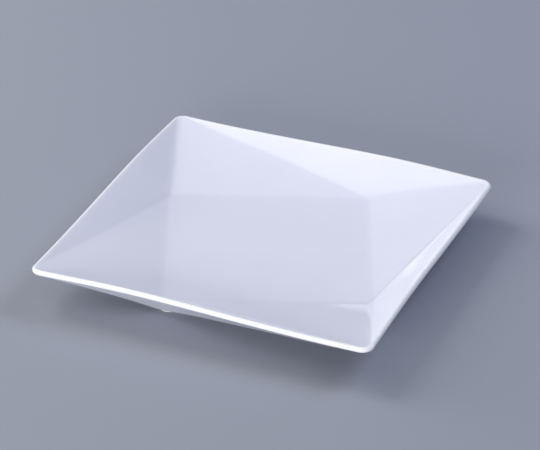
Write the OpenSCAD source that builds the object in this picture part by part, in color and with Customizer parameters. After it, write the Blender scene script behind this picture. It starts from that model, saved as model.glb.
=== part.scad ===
// Square plate whose flat square floor is turned against the square rim.
// The well is a twisted dish: four steep triangles fall from the rim's sides to the floor's
// corners, and four flatter triangles rise from the floor's sides to the rim's corners.
// Origin: centre of the foot's resting plane. +Z is up, +X and +Y run square to the rim's sides.

/* [Rim] */
// Length of one side of the square rim
rim_w = 270; // [200:1:340]
// Plan radius of the rim's corners
corner_r = 13; // [9:0.5:24]
// Thickness of the lip, glaze included
lip_t = 4.2; // [3:0.1:6]
// Height of the lip at the corners, above the table
rim_h = 30.4; // [26:0.2:44]
// Rise of the lip from a corner to the crest of each side
crest_rise = 2.6; // [0.5:0.1:5]
// Place of the crest along its side, as a share of the side
crest_share = 0.7; // [0.55:0.01:0.8]

/* [Well] */
// Side of the square floor, crease to crease
floor_w = 156; // [120:1:175]
// Turn of the floor against the rim, in degrees
floor_turn = 22.5; // [12:0.5:32]
// Depth of the floor below the lip at the corners
well_depth = 20.4; // [15:0.2:22]
// Radius of the soft valleys between the well's faces
valley_r = 14; // [5:0.5:20]

/* [Underside] */
// Side of the square underside, edge to edge
base_w = 164; // [130:1:180]
// Height of the underside's edge above the table
base_h = 3.2; // [2:0.1:5]
// Radius that rounds the underside's edge
base_r = 5; // [2:0.5:10]
// Side of the square foot ring, measured outside
foot_w = 161; // [125:1:175]
// Width of the foot ring at the table
foot_t = 5.5; // [4:0.1:9]
// Plan radius of the foot ring's outer corners
foot_corner_r = 8; // [6:0.5:16]
// Radius that rounds the foot ring's outer edge
foot_edge_r = 1.2; // [0.5:0.1:1.8]
// Height of the recess inside the foot ring
recess_h = 4.6; // [3:0.1:6]
// Plan radius of the recess's corners, where it meets the table
recess_corner_r = 6; // [5:0.5:14]
// Lean of the recess's sides, measured in plan
recess_lean = 2; // [0.5:0.1:2.5]

/* [Glaze] */
// Thickness of the glaze
glaze_t = 0.4; // [0.2:0.05:0.8]
// Height of the bare porcelain edge that the glaze leaves on the foot
bare_h = 1; // [0.5:0.1:1.6]

/* [Hidden] */

// Facets of the rounds inside each hull
hull_fn = 32;
// Overrun of cuts past the faces that they open
over = 5;
// Edge radius of the form that hollows the well, where it leaves the lip
mouth_r = 1;

// Plan distances from the axis
rim_corner_c = rim_w / 2 - corner_r;
floor_reach = floor_w / sqrt(2) * sin(45 + floor_turn);

// Slopes of the well's steep faces and of its flatter ones
wall_slope = atan(well_depth / (rim_w / 2 - lip_t / 2 - floor_reach));
floor_slope = atan(well_depth / (rim_w / sqrt(2) * cos(floor_turn) - floor_w / 2));

// Plan width of the lip, from its outer side to the steep faces
lip_w = lip_t / 2 * (1 + tan(wall_slope / 2));

// Heights above the table
floor_z = rim_h - well_depth;

// A ring's round corner: a tube of radius tube_r bent to radius bend_r
module tube_bend(bend_r, tube_r) {
    rotate_extrude($fn = hull_fn)
        translate([bend_r, 0])
            circle(tube_r, $fn = hull_fn);
}

// A disc of radius disc_r whose edge is rounded by edge_r, resting on its lower side
module rounded_disc(disc_r, edge_r) {
    translate([0, 0, edge_r])
        tube_bend(disc_r - edge_r, edge_r);
}

// Places its child on the corners of a square of side square_w, turned with the floor
module turned_corners(square_w) {
    for (quarter = [0:3])
        rotate(floor_turn + 45 + 90 * quarter)
            translate([square_w / sqrt(2), 0])
                children();
}

// The rim's corners and the crests of its sides, in a tube of radius tube_r.
// The tube's middle line lies inset from the rim's outer side, and at height z at the corners.
module rim_line(inset, tube_r, z) {
    for (quarter = [0:3])
        rotate(90 * quarter) {
            translate([rim_corner_c, rim_corner_c, z])
                tube_bend(corner_r - inset, tube_r);
            translate([rim_w * (crest_share - 1 / 2), rim_w / 2 - inset, z + crest_rise])
                sphere(tube_r, $fn = hull_fn);
        }
}

// Outside of the dish, from the lip down to the underside, a skin's thickness inside the surface
module dish(skin) {
    hull() {
        rim_line(lip_t / 2, lip_t / 2 - skin, rim_h - lip_t / 2);
        turned_corners(base_w - 2 * base_r)
            translate([0, 0, base_h + base_r])
                sphere(base_r - skin, $fn = hull_fn);
    }
}

// Block of the foot, without its recess
module foot_block(skin) {
    hull()
        turned_corners(foot_w - 2 * foot_corner_r) {
            rounded_disc(foot_corner_r - skin, foot_edge_r);
            translate([0, 0, foot_edge_r])
                cylinder(r = foot_corner_r - skin, h = base_h + base_r - foot_edge_r, $fn = hull_fn);
        }
}

// Hollow of the well: round valleys below, and a mouth that opens past the lip
module well(skin) {
    mouth_inset = lip_w + mouth_r * tan(wall_slope / 2);
    valley_inset = valley_r * tan(floor_slope / 2);
    hull() {
        turned_corners(floor_w - 2 * valley_inset)
            translate([0, 0, floor_z + valley_r])
                sphere(valley_r + skin, $fn = hull_fn);
        rim_line(mouth_inset, mouth_r + skin, rim_h + mouth_r);
        rim_line(mouth_inset, mouth_r + skin, rim_h + mouth_r + over);
    }
}

// Recess inside the foot ring, with leaning sides and a rounded upper edge
module recess(skin) {
    hull()
        turned_corners(foot_w - 2 * foot_t - 2 * recess_corner_r) {
            translate([0, 0, -over])
                cylinder(r = recess_corner_r + skin, h = over, $fn = hull_fn);
            translate([0, 0, recess_h + skin - 2 * foot_edge_r])
                rounded_disc(recess_corner_r + skin - recess_lean, foot_edge_r);
        }
}

// The plate without its recess, a skin's thickness inside the glazed surface
module blank(skin) {
    difference() {
        union() {
            dish(skin);
            foot_block(skin);
        }
        well(skin);
    }
}

// Space up to the glaze's edge on the foot, wider than the plate
module bare_zone() {
    translate([0, 0, (bare_h - over) / 2])
        cube([rim_w, rim_w, bare_h + over], center = true);
}

// The pressed and fired body: rim, walls, floor and foot ring in one piece
module porcelain_body() {
    color("#f1efea")
        difference() {
            blank(glaze_t);
            recess(glaze_t);
        }
}

// Glaze over the well, the lip, the walls and the foot's outer side
module well_and_wall_glaze() {
    color("#e6e9f5")
        difference() {
            blank(0);
            blank(glaze_t);
            bare_zone();
        }
}

// Glaze inside the foot ring
module base_glaze() {
    color("#e3e6f2")
        difference() {
            recess(glaze_t);
            recess(0);
            bare_zone();
        }
}

porcelain_body();
well_and_wall_glaze();
base_glaze();
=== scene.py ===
from math import asin, atan2, cos, hypot, pi, radians, sin, tan

import bmesh
import bpy
import numpy as np
from mathutils import Matrix, Quaternion, Vector


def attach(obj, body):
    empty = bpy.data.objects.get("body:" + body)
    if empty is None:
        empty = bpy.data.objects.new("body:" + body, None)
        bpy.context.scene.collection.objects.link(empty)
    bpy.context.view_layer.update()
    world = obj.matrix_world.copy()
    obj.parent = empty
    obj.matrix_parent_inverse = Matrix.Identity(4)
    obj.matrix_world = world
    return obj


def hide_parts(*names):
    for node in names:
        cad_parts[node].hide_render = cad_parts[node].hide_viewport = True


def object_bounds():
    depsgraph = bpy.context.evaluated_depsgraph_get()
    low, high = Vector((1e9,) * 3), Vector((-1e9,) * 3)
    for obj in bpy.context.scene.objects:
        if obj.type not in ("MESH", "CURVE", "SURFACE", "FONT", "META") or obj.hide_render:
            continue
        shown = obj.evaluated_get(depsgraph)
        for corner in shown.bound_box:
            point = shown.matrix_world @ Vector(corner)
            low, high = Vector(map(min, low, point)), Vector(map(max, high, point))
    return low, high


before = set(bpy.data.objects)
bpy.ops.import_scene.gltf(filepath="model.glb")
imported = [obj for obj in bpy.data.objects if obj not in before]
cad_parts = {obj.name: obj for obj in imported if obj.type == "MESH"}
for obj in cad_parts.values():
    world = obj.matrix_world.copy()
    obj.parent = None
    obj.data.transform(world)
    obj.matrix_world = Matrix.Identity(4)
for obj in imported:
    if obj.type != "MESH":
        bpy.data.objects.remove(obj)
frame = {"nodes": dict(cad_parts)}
cadLow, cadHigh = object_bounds()
print("frame loaded:", ", ".join(frame["nodes"]))

# All sizes are in metres. +Z is up, +X and +Y run square to the rim's sides.
plate = {
    "width": cadHigh.x - cadLow.x,   # rim, outside to outside
    "cornerRadius": 0.0090,          # rim corner, in plan
    "lipThickness": 0.0042,
    "lipHeight": 0.0304,             # top of the lip, before its wave
    "turn": radians(22.5),           # the floor and the foot against the rim
    "creaseReach": 0.0040,           # how far a crease softens to each side, at most
    "creaseShare": 0.22,             # the same as a share of its distance from the lip or the foot
    "creaseFill": 0.00035,           # rise of a crease's line that counts as a full pool of glaze
    "thinReach": 0.0025,             # width of the thin glaze beside the lip and the foot
    "glaze": 0.0004,
}

sameSpot = 1e-6   # points that are nearer than this are one

# How finely the meshes are cut
cuts = {
    "corner": 12,                      # edges of an outline's round corner
    "side": 72,                        # edges of its straight side
    "lip": 14,                         # rows round the lip
    "arc": 5,                          # rows of each small round on the foot
    "directions": 96,                  # planes that a wall is made of
    "discRings": (0.35, 0.65, 0.95),   # rings of the disc that softens a crease, as shares of it
    "discSpokes": 10,
    "bridgeGap": 0.01,                 # how far an outline stands aside while it is bridged
}


def outline(bm, width, radius, height, turn=0.0):
    # a closed loop of edges: a square with round corners, centred on the plate's axis
    known = set(bm.edges)
    corners = bmesh.ops.create_grid(bm, x_segments=1, y_segments=1, size=width / 2)["verts"]
    bmesh.ops.bevel(bm, geom=corners, offset=radius, offset_type="OFFSET", segments=cuts["corner"],
                    profile=0.5, affect="VERTICES", material=-1)
    loop = [edge for edge in bm.edges if edge not in known]
    sides = sorted(loop, key=lambda edge: edge.calc_length())[-4:]
    bmesh.ops.subdivide_edges(bm, edges=sides, cuts=cuts["side"] - 1)
    loop = [edge for edge in bm.edges if edge not in known]
    bmesh.ops.delete(bm, geom=list(loop[0].link_faces), context="FACES_ONLY")
    points = list({point for edge in loop for point in edge.verts})
    bmesh.ops.rotate(bm, verts=points, matrix=Matrix.Rotation(turn, 3, "Z"))
    bmesh.ops.translate(bm, verts=points, vec=(0, 0, height))
    return loop


def strip(bm, first, second, rows=1):
    # faces between two outlines, in that many rows; outlines in one plane could join twisted,
    # so the second one is moved out of it meanwhile
    ends = list({point for edge in second for point in edge.verts})
    bmesh.ops.translate(bm, verts=ends, vec=(0, 0, -cuts["bridgeGap"]))
    made = bmesh.ops.bridge_loops(bm, edges=first + second)
    bmesh.ops.translate(bm, verts=ends, vec=(0, 0, cuts["bridgeGap"]))
    if rows > 1:
        spokes = [edge for edge in made["edges"] if len(set(ends).intersection(edge.verts)) == 1]
        bmesh.ops.subdivide_edges(bm, edges=spokes, cuts=rows - 1, use_grid_fill=True)


def squareReach(angle, width, radius, turn=0.0):
    # how far a round-cornered square reaches in one direction
    return (width / 2 - radius) * (abs(cos(angle - turn)) + abs(sin(angle - turn))) + radius


def directions():
    for step in range(cuts["directions"]):
        angle = 2 * pi * step / cuts["directions"]
        yield angle, np.array((cos(angle), sin(angle)))


def distanceOutside(spots, width, radius, turn=0.0):
    # how far each spot lies outside a round-cornered square; less than 0 inside it
    return np.max([spots @ normal - squareReach(angle, width, radius, turn)
                   for angle, normal in directions()], axis=0)


# The turned squares that the walls start from: the well's floor and the edge of the underside
floor = {"width": 0.1560, "cornerRadius": 0.0030, "height": 0.0100}
underside = {"width": 0.1640, "cornerRadius": 0.0050, "height": 0.0032}


def wallLean(angle, inner, side):
    # slope of the wall that leads to the lip in one direction: it rests on the inner square's edge
    # and touches the lip's round from above (side 1) or from below (side -1)
    lipRadius = plate["lipThickness"] / 2
    run = (squareReach(angle, plate["width"], plate["cornerRadius"]) - lipRadius
           - squareReach(angle, inner["width"], inner["cornerRadius"], plate["turn"]))
    rise = plate["lipHeight"] - lipRadius - inner["height"]
    return atan2(rise, run) + side * asin(lipRadius / hypot(run, rise))


def wallHeights(spots, inner, side):
    # the walls are the highest of all the planes that lead from the inner square to the lip
    lipRadius = plate["lipThickness"] / 2
    heights = np.full(len(spots), inner["height"])
    for angle, normal in directions():
        lean = wallLean(angle, inner, side)
        reach = spots @ normal
        start = squareReach(angle, inner["width"], inner["cornerRadius"], plate["turn"])
        plane = inner["height"] + (reach - start) * tan(lean)
        inset = squareReach(angle, plate["width"], plate["cornerRadius"]) - reach - lipRadius
        lipRound = (plate["lipHeight"] - lipRadius
                    + side * np.sqrt(np.clip(lipRadius ** 2 - inset ** 2, 0, None)))
        heights = np.maximum(heights, np.where(inset < side * lipRadius * sin(lean), lipRound, plane))
    return heights


def softHeights(spots, inner, side, room):
    # creases melt into each other: a mean over a small disc, which leaves flat faces as they are
    reach = np.minimum(plate["creaseReach"], plate["creaseShare"] * np.clip(room, 0, None))
    total = np.zeros(len(spots))
    shares = [(ring, 2 * pi * (step + ring) / cuts["discSpokes"])
              for ring in cuts["discRings"] for step in range(cuts["discSpokes"])]
    for ring, angle in shares:
        offset = np.outer(reach * ring, (cos(angle), sin(angle)))
        total += wallHeights(spots + offset, inner, side)
    return total / len(shares)


# The lip swells once along each side, in a slow wave that runs on round the corners.
rimWave = {"level": 0.00110, "swell": 0.00145, "crestShare": 0.666, "cornerDip": 0.00015}


def rimLift(spots):
    # the lip's wave, by how far along its side a spot lies
    x, y = spots[:, 0], spots[:, 1]
    alongX = np.abs(y) >= np.abs(x)
    outward = np.where(alongX, np.abs(y), np.abs(x))
    along = np.where(alongX, x * np.sign(y), -y * np.sign(x))
    share = (1 + along / np.maximum(outward, sameSpot)) / 2
    return (rimWave["level"] + rimWave["swell"] * np.cos(2 * pi * (share - rimWave["crestShare"]))
            - rimWave["cornerDip"] * np.cos(4 * pi * share))


def planOf(points):
    return np.array([point.co.xy for point in points])


def lipOutline(bm, angle):
    # the lip's round at one angle of its cross-section: 0 is the outer side and 90 degrees the top
    lipRadius = plate["lipThickness"] / 2
    inset = lipRadius * (1 - cos(angle))
    return outline(bm, plate["width"] - 2 * inset, plate["cornerRadius"] - inset,
                   plate["lipHeight"] + lipRadius * (sin(angle) - 1))


def insetOutline(bm, inset, radius=None):
    return outline(bm, plate["width"] - 2 * inset, radius or plate["cornerRadius"] - inset, 0)


# The lip's own round ends where the flattest wall of the well and the steepest one below take over.
lipTop = pi / 2 + min(wallLean(angle, floor, 1) for angle, _ in directions())
lipUnder = -pi / 2 + max(wallLean(angle, underside, -1) for angle, _ in directions())

# How deep the glaze lies, for its colour: worn thin over rounds, open on faces, deep in creases
glazeDepths = {"thin": 0.0, "open": 0.5, "deep": 1.0}


def markGlaze(bm, depths):
    layer = bm.verts.layers.float.new("glazeDepth")
    for point, depth in zip(bm.verts, np.broadcast_to(depths, len(bm.verts))):
        point[layer] = depth


def shapeWall(bm, inner, side, edge):
    # heights of a wall's points, and the lip's wave fading out towards the inner square
    spots = planOf(bm.verts)
    inset = -distanceOutside(spots, plate["width"], plate["cornerRadius"])
    room = inset - plate["lipThickness"] / 2 * (1 - cos(edge))
    if side < 0:
        room = np.minimum(room, distanceOutside(spots, foot["width"] + 2 * foot["fillet"],
                                                foot["cornerRadius"] + foot["fillet"], plate["turn"]))
    heights = softHeights(spots, inner, side, room)
    gathered = np.clip((heights - wallHeights(spots, inner, side)) / plate["creaseFill"], 0, 1)
    worn = np.clip(1 - room / plate["thinReach"], 0, 1)
    thin, usual, deep = glazeDepths["thin"], glazeDepths["open"], glazeDepths["deep"]
    markGlaze(bm, usual + (deep - usual) * gathered - (usual - thin) * worn)
    edgeHeight = plate["lipHeight"] + plate["lipThickness"] / 2 * (sin(edge) - 1)
    fade = np.clip((heights - inner["height"]) / (edgeHeight - inner["height"]), 0, 1)
    heights += fade * rimLift(spots)
    for point, height in zip(bm.verts, heights):
        point.co.z = height


# Outlines that the walls are meshed between, from the lip inwards. They set how fine the mesh is,
# and the heights of its points set the shape.
wallMesh = {
    "well": ((0.0053, 0.0060, 7), (0.0120, 0.0060, 6), (0.0750, 0.0150, 50), (0.1200, 0.0080, 8)),
    "outer": ((0.0026, None, 5), (0.0060, None, 3)),   # inset, plan radius if its own, rows up to it
    "footRows": 24,                                    # rows from the last of them to the foot
}


def insetRows(bm, edge, outlines):
    # rows of faces inwards from the lip's round, and the last outline's edges
    loop = insetOutline(bm, plate["lipThickness"] / 2 * (1 - cos(edge)))
    for inset, radius, rows in outlines:
        following = insetOutline(bm, inset, radius)
        strip(bm, loop, following, rows)
        loop = following
    return loop


def well():
    bm = bmesh.new()
    centre = insetRows(bm, lipTop, wallMesh["well"])
    bmesh.ops.edgeloop_fill(bm, edges=centre)
    shapeWall(bm, floor, 1, lipTop)
    return bm


def lip():
    bm = bmesh.new()
    steps = [lipTop + (lipUnder - lipTop) * step / cuts["lip"] for step in range(cuts["lip"] + 1)]
    loops = [lipOutline(bm, angle) for angle in steps]
    for first, second in zip(loops, loops[1:]):
        strip(bm, first, second)
    for point, lift in zip(bm.verts, rimLift(planOf(bm.verts))):
        point.co.z += lift
    markGlaze(bm, glazeDepths["thin"])
    return bm


def outerWalls():
    bm = bmesh.new()
    loop = insetRows(bm, lipUnder, wallMesh["outer"])
    inner = footOutline(bm, foot["fillet"], underside["height"])
    strip(bm, loop, inner, wallMesh["footRows"])
    shapeWall(bm, underside, -1, lipUnder)
    return bm


foot = {
    "width": 0.1610,          # outside, side to side
    "cornerRadius": 0.0080,
    "thickness": 0.0055,      # at the table
    "fillet": 0.0007,         # where the foot leaves the underside
    "bareHeight": 0.0010,     # the glaze is wiped off below this
    "bandHeight": 0.0012,     # top of the narrow row of faces over the bare edge
    "outerShare": 0.95,       # radius of the outer edge's rounding, as a share of the bare height
    "innerEdge": 0.0008,      # radius of the inner edge's
    "recessHeight": 0.0046,
    "recessCorner": 0.0060,   # plan radius of the recess's corners at the table
    "recessLean": 0.0020,
    "recessEdge": 0.0012,
}


def footOutline(bm, outset, height):
    # the foot's outer side is at outset 0, and its recess begins a foot's thickness further in
    inside = outset < -foot["thickness"] / 2
    radius = foot["recessCorner"] + foot["thickness"] if inside else foot["cornerRadius"]
    return outline(bm, foot["width"] + 2 * outset, radius + outset, height, plate["turn"])


def footLoft(sections, closed=False):
    # a skin through the foot's outlines, each given as (outset, height)
    bm = bmesh.new()
    loops = [footOutline(bm, outset, height) for outset, height in sections]
    for first, second in zip(loops, loops[1:]):
        strip(bm, first, second)
    if closed:
        bmesh.ops.edgeloop_fill(bm, edges=loops[-1])
    markGlaze(bm, glazeDepths["open"])
    return bm


def arc(middle, radius, start, end):
    # points of a round in cross-section, as (outset, height)
    angles = [start + (end - start) * step / cuts["arc"] for step in range(cuts["arc"] + 1)]
    return [(middle[0] + radius * cos(angle), middle[1] + radius * sin(angle)) for angle in angles]


def footSide():
    fillet = foot["fillet"]
    sections = arc((fillet, underside["height"] - fillet), fillet, pi / 2, pi)
    return footLoft(sections + [(0, foot["bandHeight"]), (0, foot["bareHeight"])])


def restingEdge():
    # the outer rounding starts below the glaze's edge
    outer, inner = foot["bareHeight"] * foot["outerShare"], foot["innerEdge"]
    sections = [(0, foot["bareHeight"])] + arc((-outer, outer), outer, 0, -pi / 2)
    sections += arc((inner - foot["thickness"], inner), inner, -pi / 2, -pi)
    sections.append((-foot["thickness"], foot["bareHeight"]))
    return footLoft(sections)


def recess():
    edge, top = foot["recessEdge"], foot["recessHeight"]
    side = -foot["thickness"]
    lean = atan2(foot["recessLean"], top - edge - foot["bareHeight"])
    middle = (side - foot["recessLean"] - edge * cos(lean), top - edge)
    sections = [(side, foot["bareHeight"])] + arc(middle, edge, lean, pi / 2)
    return footLoft(sections, closed=True)


def joined(zones, facing):
    # one skin from zones that share their edges; its largest face looks up (1) or down (-1)
    bm = bmesh.new()
    bm.verts.layers.float.new("glazeDepth")
    for zone in zones:
        mesh = bpy.data.meshes.new("zone")
        zone.to_mesh(mesh)
        zone.free()
        bm.from_mesh(mesh)
        bpy.data.meshes.remove(mesh)
    bmesh.ops.remove_doubles(bm, verts=bm.verts, dist=sameSpot)
    bmesh.ops.recalc_face_normals(bm, faces=bm.faces)
    largest = max(bm.faces, key=lambda face: face.calc_area())
    if largest.normal.z * facing < 0:
        bmesh.ops.reverse_faces(bm, faces=bm.faces)
    return bm


def finished(bm, name):
    for face in bm.faces:
        face.smooth = True
    mesh = bpy.data.meshes.new(name)
    bm.to_mesh(mesh)
    bm.free()
    piece = bpy.data.objects.new(name, mesh)
    bpy.context.scene.collection.objects.link(piece)
    return piece


def makeGlaze(name, zones, facing):
    bm = joined(zones, facing)
    bmesh.ops.solidify(bm, geom=bm.faces[:], thickness=plate["glaze"])
    return finished(bm, name)


def makeBody():
    # the same skin all round, drawn in by the glaze's thickness, with its resting face on the table
    bm = joined((well(), lip(), outerWalls(), footSide(), restingEdge(), recess()), -1)
    bm.normal_update()
    for point in bm.verts:
        drawn = point.co - point.normal * plate["glaze"]
        point.co = (drawn.x, drawn.y, drawn.z if point.co.z > sameSpot else 0)
    return finished(bm, "porcelainBody")


wallGlaze = makeGlaze("wellAndWallGlaze", (well(), lip(), outerWalls(), footSide()), 1)
baseGlaze = makeGlaze("baseGlaze", (recess(),), -1)
body = makeBody()
print("plate modelled:", [(piece.name, len(piece.data.polygons)) for piece in (wallGlaze, baseGlaze, body)])


def linear(hexColour):
    # sRGB hex to the linear colour that the shader takes
    channels = [int(hexColour[i:i + 2], 16) / 255 for i in (1, 3, 5)]
    return tuple(c / 12.92 if c <= 0.04045 else ((c + 0.055) / 1.055) ** 2.4 for c in channels) + (1.0,)


def addNode(tree, kind, settings=None, links=None, **attributes):
    # one node with its attributes, its inputs' values and the sockets that feed its inputs
    node = tree.nodes.new(kind)
    for name, value in attributes.items():
        setattr(node, name, value)
    for name, value in (settings or {}).items():
        node.inputs[name].default_value = value
    for name, socket in (links or {}).items():
        tree.links.new(socket, node.inputs[name])
    return node


def newMaterial(name):
    material = bpy.data.materials.new(name)
    material.use_nodes = True
    return material, material.node_tree, material.node_tree.nodes["Principled BSDF"]


def grain(tree, size, detail=2.0):
    # soft noise whose waves are about that many millimetres long
    place = addNode(tree, "ShaderNodeTexCoord")
    return addNode(tree, "ShaderNodeTexNoise", {"Scale": 1000 / size, "Detail": detail, "Roughness": 0.5},
                   {"Vector": place.outputs["Object"]}).outputs["Fac"]


def spread(tree, value, low, high, start=0.3, end=0.7):
    # a noise's usual span, stretched to run from low to high
    return addNode(tree, "ShaderNodeMapRange",
                   {"From Min": start, "From Max": end, "To Min": low, "To Max": high},
                   {"Value": value}).outputs["Result"]


def relief(tree, height, depth, under=None):
    # unevenness that is so many metres deep
    links = {"Height": height}
    if under:
        links["Normal"] = under
    return addNode(tree, "ShaderNodeBump", {"Strength": 1.0, "Distance": depth}, links).outputs["Normal"]


glazeLook = {
    "thin": "#f1f2f7",        # over rounds the white body shows through
    "open": "#e8e9f4",        # bluish white of reduction-fired porcelain
    "deep": "#e1e3f0",        # gathered in the creases
    "mottle": 0.35,           # share by which the colour drifts between open and deep
    "mottleSize": 42,         # millimetres
    "smoothest": 0.055,       # roughness
    "roughest": 0.10,
    "roughSize": 30,
    "roughDetail": 3,
    "rippleSize": 24,         # the glaze's slow waves, left by the melt
    "rippleDetail": 1,
    "rippleDepth": 0.000035,
    "peelSize": 3.2,          # fine orange peel
    "peelDepth": 0.0000016,
    "ior": 1.52,
}


def glazedPorcelain():
    # clear gloss glaze over white porcelain
    material, tree, shader = newMaterial("glazedPorcelain")
    depth = addNode(tree, "ShaderNodeAttribute", attribute_name="glazeDepth").outputs["Fac"]
    mostDrift = (glazeDepths["deep"] - glazeDepths["open"]) * glazeLook["mottle"]
    drift = spread(tree, grain(tree, glazeLook["mottleSize"]), 0, mostDrift)
    thickness = addNode(tree, "ShaderNodeMath", {}, {0: depth, 1: drift}, operation="ADD").outputs["Value"]
    ramp = addNode(tree, "ShaderNodeValToRGB", {}, {"Fac": thickness})
    ramp.color_ramp.elements.new(glazeDepths["open"])
    for stop, (colour, place) in zip(ramp.color_ramp.elements, glazeDepths.items()):
        stop.position = place
        stop.color = linear(glazeLook[colour])
    tree.links.new(ramp.outputs["Color"], shader.inputs["Base Color"])
    patches = grain(tree, glazeLook["roughSize"], glazeLook["roughDetail"])
    roughness = spread(tree, patches, glazeLook["smoothest"], glazeLook["roughest"])
    tree.links.new(roughness, shader.inputs["Roughness"])
    waves = grain(tree, glazeLook["rippleSize"], glazeLook["rippleDetail"])
    ripple = relief(tree, waves, glazeLook["rippleDepth"])
    peel = relief(tree, grain(tree, glazeLook["peelSize"]), glazeLook["peelDepth"], ripple)
    tree.links.new(peel, shader.inputs["Normal"])
    shader.inputs["IOR"].default_value = glazeLook["ior"]
    return material


bareLook = {
    "pale": "#efebe2",        # fired clay without glaze
    "dark": "#e6e0d4",        # soil that its pores hold
    "soilSize": 14,           # millimetres
    "soilDetail": 6,
    "soilStart": 0.45,        # noise below this leaves the clay pale
    "soilEnd": 0.75,
    "roughness": 0.62,
    "grainSize": 0.35,
    "grainDepth": 0.00002,
}


def barePorcelain():
    # the foot's resting edge, wiped clean of glaze before firing and ground smooth
    material, tree, shader = newMaterial("barePorcelain")
    stains = grain(tree, bareLook["soilSize"], bareLook["soilDetail"])
    soil = spread(tree, stains, 0, 1, bareLook["soilStart"], bareLook["soilEnd"])
    ramp = addNode(tree, "ShaderNodeValToRGB", {}, {"Fac": soil})
    for stop, colour in zip(ramp.color_ramp.elements, ("pale", "dark")):
        stop.color = linear(bareLook[colour])
    tree.links.new(ramp.outputs["Color"], shader.inputs["Base Color"])
    pores = relief(tree, grain(tree, bareLook["grainSize"]), bareLook["grainDepth"])
    tree.links.new(pores, shader.inputs["Normal"])
    shader.inputs["Roughness"].default_value = bareLook["roughness"]
    return material


glazed, bare = glazedPorcelain(), barePorcelain()
for piece, material, slot, node in (
        (wallGlaze, glazed, "glaze", "well_and_wall_glaze"),
        (baseGlaze, glazed, "glaze", "base_glaze"),
        (body, bare, "porcelain", "porcelain_body")):
    piece.data.materials.append(material)
    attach(piece, "root")
    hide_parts(node)
print("materials done")

view = {
    "spot": Vector((0.7404, -1.8250, 1.1721)),
    "target": Vector((0.0018, 0.0001, 0.0302)),
    "roll": radians(1.28),
    "lens": 200.3,           # millimetres, as the sensor's width
    "sensorWidth": 36,
    "nearest": 0.05,
    "farthest": 50,
}


def addCamera():
    data = bpy.data.cameras.new("camera")
    data.lens = view["lens"]
    data.sensor_width = view["sensorWidth"]
    data.clip_start = view["nearest"]
    data.clip_end = view["farthest"]
    camera = bpy.data.objects.new("camera", data)
    bpy.context.scene.collection.objects.link(camera)
    camera.location = view["spot"]
    camera.rotation_mode = "QUATERNION"
    aim = (view["target"] - view["spot"]).to_track_quat("-Z", "Y")
    camera.rotation_quaternion = aim @ Quaternion((0, 0, 1), view["roll"])
    bpy.context.scene.camera = camera


greyTable = {"halfWidth": 4, "colour": "#969aa5", "roughness": 0.9}


def addStage():
    bm = bmesh.new()
    bmesh.ops.create_grid(bm, x_segments=1, y_segments=1, size=greyTable["halfWidth"])
    table = finished(bm, "table")
    material, _, shader = newMaterial("greyCard")
    shader.inputs["Base Color"].default_value = linear(greyTable["colour"])
    shader.inputs["Roughness"].default_value = greyTable["roughness"]
    table.data.materials.append(material)


# Each softbox has its azimuth, elevation, side in metres, watts and colour.
# Azimuth 0 is behind the plate and 90 on its left.
lighting = {
    "softboxes": {
        "leftSoftbox": (75, 46, 0.7, 10.8, "#ffffff"),
        "lowLeftSoftbox": (90, 20, 0.9, 12.2, "#ffffff"),
        "rightBackSoftbox": (-45, 45, 0.8, 13.8, "#dfe8ff"),
        "lowFrontSoftbox": (180, 7, 0.9, 37.0, "#ffffff"),
        "highFrontSoftbox": (150, 68, 1.3, 3.5, "#ffffff"),
    },
    "distance": 1.8,
    "aimHeight": 0.02,
    "roomColour": "#f0f2ff",
    "roomStrength": 0.13,
}


def addSoftbox(name, azimuth, elevation, size, watts, colour):
    azimuth, elevation = radians(azimuth), radians(elevation)
    aim = Vector((-sin(azimuth) * cos(elevation), cos(azimuth) * cos(elevation), sin(elevation)))
    data = bpy.data.lights.new(name, "AREA")
    data.shape = "SQUARE"
    data.size = size
    data.energy = watts
    data.color = linear(colour)[:3]
    lamp = bpy.data.objects.new(name, data)
    bpy.context.scene.collection.objects.link(lamp)
    lamp.location = lighting["distance"] * aim + Vector((0, 0, lighting["aimHeight"]))
    lamp.rotation_mode = "QUATERNION"
    lamp.rotation_quaternion = (-aim).to_track_quat("-Z", "Y")


def addRoom():
    # the pale room around the table
    world = bpy.data.worlds.new("room")
    bpy.context.scene.world = world
    world.use_nodes = True
    background = world.node_tree.nodes["Background"]
    background.inputs["Color"].default_value = linear(lighting["roomColour"])
    background.inputs["Strength"].default_value = lighting["roomStrength"]


addCamera()
addStage()
for name, softbox in lighting["softboxes"].items():
    addSoftbox(name, *softbox)
addRoom()
bpy.context.scene.view_settings.view_transform = "Standard"
print("camera, table and lamps placed")
